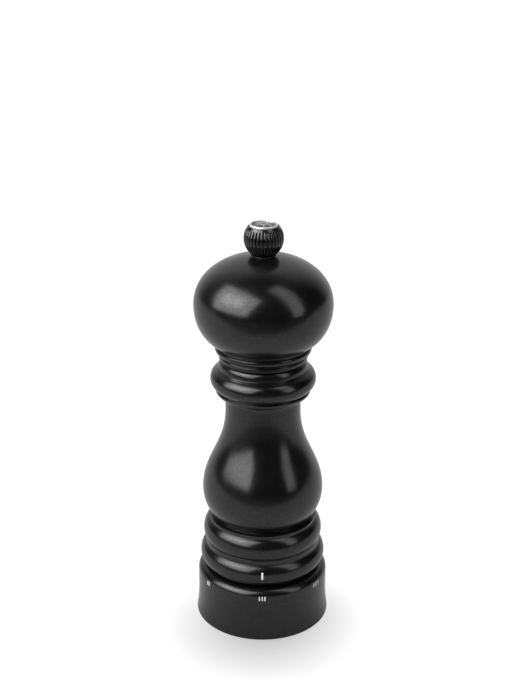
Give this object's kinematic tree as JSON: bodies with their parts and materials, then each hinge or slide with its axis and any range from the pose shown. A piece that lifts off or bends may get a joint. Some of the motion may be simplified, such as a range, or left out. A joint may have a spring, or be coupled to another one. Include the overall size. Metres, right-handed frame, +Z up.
{
  "type": "pepper mill",
  "caption": "Turned table pepper mill with a mushroom head, a fluted ball knob and an adjusting ring at its foot that sets the grind.",
  "frame": {"origin": "centre of the foot, on the surface the mill stands on", "axes": "+Z up along the shaft, -Y to the front, where the index line and setting III stand at rest"},
  "size_m": [0.059, 0.059, 0.1804],
  "materials": {
    "black_lacquer": "black satin lacquer on turned beech",
    "black_moulding": "glossy moulded plastic",
    "bright_trim": "bright plated",
    "brass": "turned brass",
    "plain_steel": "zinc-plated steel",
    "hard_steel": "case-hardened steel",
    "spring_steel": "drawn spring wire",
    "shaft_aluminium": "extruded bar, satin",
    "pale_nylon": "natural moulded nylon",
    "dark_nylon": "black moulded nylon",
    "white_print": "white pad-printed ink"
  },
  "bodies": {
    "case": {"body": "black_lacquer", "mechanism_housing": "dark_nylon", "bearing_bridge": "plain_steel", "bridge_screw_1": "plain_steel", "bridge_screw_2": "plain_steel", "carrier_spring": "spring_steel", "detent_spring": "spring_steel"},
    "drive": {"drive_shaft": "shaft_aluminium", "shaft_bush": "pale_nylon", "pressure_spring": "spring_steel", "grinding_rotor": "hard_steel", "rotor_washer": "plain_steel", "rotor_nut": "plain_steel"},
    "head_group": {"head": "black_lacquer", "drive_plate": "plain_steel", "drive_plate_screw_1": "plain_steel", "drive_plate_screw_2": "plain_steel"},
    "washer_group": {"knob_washer": "dark_nylon"},
    "knob_group": {"knob": "black_moulding", "knob_trim_ring": "bright_trim", "knob_cap": "black_moulding", "knob_insert": "brass"},
    "ring_group": {"adjuster_ring": "black_lacquer", "lift_sleeve": "dark_nylon", "lift_sleeve_screw_1": "plain_steel", "lift_sleeve_screw_2": "plain_steel", "lift_sleeve_screw_3": "plain_steel"},
    "stator_group": {"stator_carrier": "dark_nylon", "grinding_stator": "hard_steel"},
    "detent_group": {"detent_plunger": "plain_steel"}
  },
  "joints": [
    {"name": "head_turn", "type": "hinge", "parent": "case", "child": "drive", "pos_m": [0, 0, 0], "axis": [0, 0, 1], "continuous": true},
    {"name": "head_lift", "type": "slide", "parent": "drive", "child": "head_group", "axis": [0, 0, 1], "range_m": [0, 0.07]},
    {"name": "knob_rise", "type": "slide", "parent": "head_group", "child": "washer_group", "axis": [0, 0, 1], "range_m": [0, 0.009]},
    {"name": "knob_turn", "type": "hinge", "parent": "washer_group", "child": "knob_group", "pos_m": [0, 0, 0], "axis": [0, 0, 1], "range_deg": [0, 3240]},
    {"name": "adjuster_turn", "type": "hinge", "parent": "case", "child": "ring_group", "pos_m": [0, 0, 0], "axis": [0, 0, 1], "range_deg": [-180, 120]},
    {"name": "grind_gap", "type": "slide", "parent": "case", "child": "stator_group", "axis": [0, 0, 1], "range_m": [-0.0005, 0.00075], "deforming": ["carrier_spring"]},
    {"name": "detent_push", "type": "slide", "parent": "case", "child": "detent_group", "axis": [0, 0, 1], "range_m": [-0.001, 0], "stiffness_N_per_m": 300, "springref_m": 0.001, "deforming": ["detent_spring"]}
  ],
  "couplings": [
    {"joint": "knob_turn", "follows": "knob_rise", "rad_per_m": 6283.2},
    {"joint": "adjuster_turn", "follows": "grind_gap", "rad_per_m": -4188.8}
  ]
}
